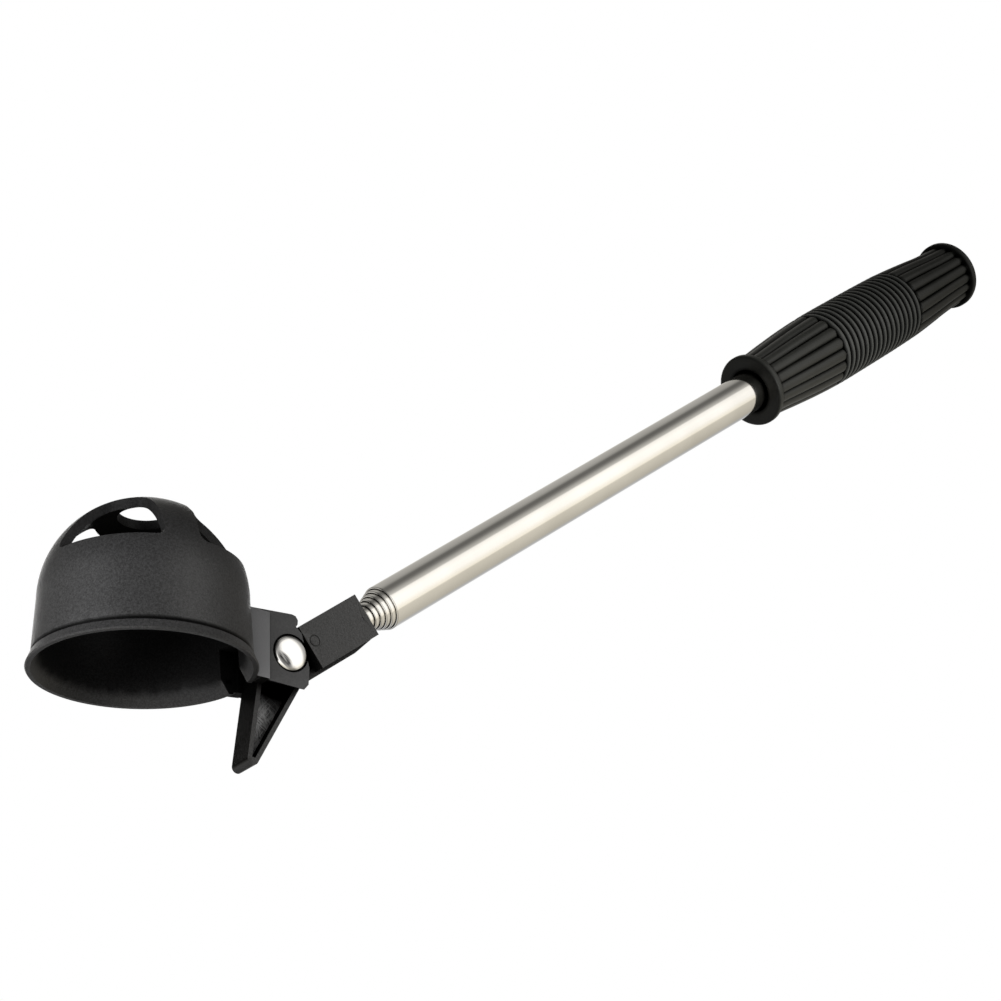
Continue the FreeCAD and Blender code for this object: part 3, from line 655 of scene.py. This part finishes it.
def make_world():
    """Soft studio. What metal mirrors changes with the angle round the shaft, with a dim gap between two
    panels; soft surfaces get a dimmer share of the same light, and the camera sees plain white."""
    world = bpy.data.worlds.new("studio")
    bpy.context.scene.world = world
    s = Shader(world)
    axes = s.axes(s.add("ShaderNodeTexCoord").outputs["Generated"])
    turn = s.math("ADD", s.math("DIVIDE", s.math("ARCTAN2", axes["Z"], axes["Y"]), TAU), 0.5)
    ring = s.ramp(turn, [(degrees / 360 + 0.5, tinted(level, panel_tint(degrees)))
                         for degrees, level in PANELS])
    gap = s.ramp(s.span(axes["X"], -1.0, 1.0), [(place, grey(level)) for place, level in PANEL_GAP])
    ambient = s.ramp(s.span(axes["Z"], -1.0, 1.0), [(place, grey(level)) for place, level in AMBIENT])
    rays = s.add("ShaderNodeLightPath").outputs
    soft = s.mix(rays["Is Diffuse Ray"], s.mix(1.0, ring, gap, "MULTIPLY"), ambient)
    shown = s.mix(rays["Is Camera Ray"], soft, grey(1.0))
    background = s.add("ShaderNodeBackground", {"Color": shown, "Strength": 1.0})
    s.add("ShaderNodeOutputWorld", {"Surface": background.outputs[0]})


def panel_tint(degrees):
    return next(tint for end, tint in PANEL_TINTS if degrees <= end)


def gathered(name, *nodes):
    """A collection of CAD nodes that a lamp is linked to."""
    group = bpy.data.collections.new(name)
    for node in nodes:
        group.objects.link(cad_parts[node])
    return group


def make_lamp(name, direction, power, size, lit):
    """A square soft box that looks at the object from one direction and lights only the given pieces."""
    data = bpy.data.lights.new(name, "AREA")
    data.energy = power
    data.size = size
    lamp = bpy.data.objects.new(name, data)
    bpy.context.scene.collection.objects.link(lamp)
    aim = Vector(direction).normalized()
    lamp.location = LIT_MIDDLE + aim * LAMP_REACH
    lamp.rotation_euler = aim.to_track_quat("Z", "Y").to_euler()
    lamp.light_linking.receiver_collection = lit


def make_floor():
    """Pale floor well below the object. Only the camera sees it, and only from above, so that it neither
    mirrors in the metal nor hides the underside."""
    bpy.ops.mesh.primitive_plane_add(size=FLOOR_SIZE, location=FLOOR_PLACE)
    floor = bpy.context.object
    floor.name = "floor"
    material = bpy.data.materials.new("floor")
    s = Shader(material)
    pale = s.add("ShaderNodeEmission", {"Color": grey(1.0), "Strength": 1.0}).outputs[0]
    clear = s.add("ShaderNodeBsdfTransparent").outputs[0]
    from_above = s.math("SUBTRACT", 1.0, s.add("ShaderNodeNewGeometry").outputs["Backfacing"])
    seen = s.math("MULTIPLY", s.add("ShaderNodeLightPath").outputs["Is Camera Ray"], from_above)
    mixed = s.add("ShaderNodeMixShader", {0: seen, 1: clear, 2: pale}).outputs[0]
    s.add("ShaderNodeOutputMaterial", {"Surface": mixed})
    floor.data.materials.append(material)


def make_camera():
    """Low three-quarter view from in front of the scoop, rolled so that the shaft climbs to the right."""
    place = Vector((0.7178, 0.5427, -0.0064))
    target = Vector((0.2488, 0.0233, 0.0084))
    up = Vector((-0.3696, 0.3582, 0.8574))
    back = (place - target).normalized()
    right = up.cross(back).normalized()
    up = back.cross(right)
    data = bpy.data.cameras.new("camera")
    data.lens = 93.97
    data.sensor_width = 36.0
    data.clip_start = 0.01
    camera = bpy.data.objects.new("camera", data)
    bpy.context.scene.collection.objects.link(camera)
    camera.matrix_world = Matrix.LocRotScale(place, Matrix((right, up, back)).transposed(), None)
    bpy.context.scene.camera = camera


# ---------------------------------------------------------------- assembly

scoop_plastic = black_plastic("scoop_plastic", CUP_TONE, reach=0.03, finish=cup_finish)
arm_plastic = black_plastic("arm_plastic", ARM_TONE, (1.0, 1.0, 1.01), 0.03, 2.0, scratched_web)
steel = drawn_steel()
chrome = rivet_metal()

grip = make_grip(grip_rubber())
for number in range(1, TUBES + 1):
    make_tube(number, steel)
make_rivet("rivet_head", "hinge_rivet", 1, chrome)
make_rivet("rivet_far_head", "rivet_cap", -1, chrome)
dress("scoop_cup", scoop_plastic, 0.3)
dress("hinge_arm", arm_plastic, 0.25)
dress("arm_pin", plain_metal("pin_steel", (0.06, 0.06, 0.063), 0.45))
dress("tube_end_plug", black_plastic("plug_plastic", PLUG_TONE), 0.2)
brass = plain_metal("sleeve_brass", (0.72, 0.56, 0.3), 0.3)
for number in range(2, TUBES + 1):
    dress(f"friction_sleeve_{number}", brass)

make_world()
cup_only = gathered("cup_only", "scoop_cup")
dull = gathered("dull_pieces", "hinge_arm", "arm_pin", "tube_end_plug")
far_side = gathered("far_side", "scoop_cup", "hinge_arm", "arm_pin", "tube_end_plug")
grip_only = gathered("grip_only")
for group in (grip_only, far_side):
    group.objects.link(grip)
make_lamp("left_box", (0.85, 0.15, 0.49), 10.0, 0.7, cup_only)
make_lamp("side_box", (-0.4, 0.9, 0.05), 1.9, 0.7, cup_only)
make_lamp("right_box", (-0.78, 0.6, -0.11), 3.5, 0.7, dull)
make_lamp("grip_box", (0.15, 0.85, -0.4), 7.0, 0.9, grip_only)
make_lamp("far_box", (-0.45, -0.9, 0.1), 4.5, 0.9, far_side)
make_floor()
make_camera()
bpy.context.scene.view_settings.view_transform = "Standard"
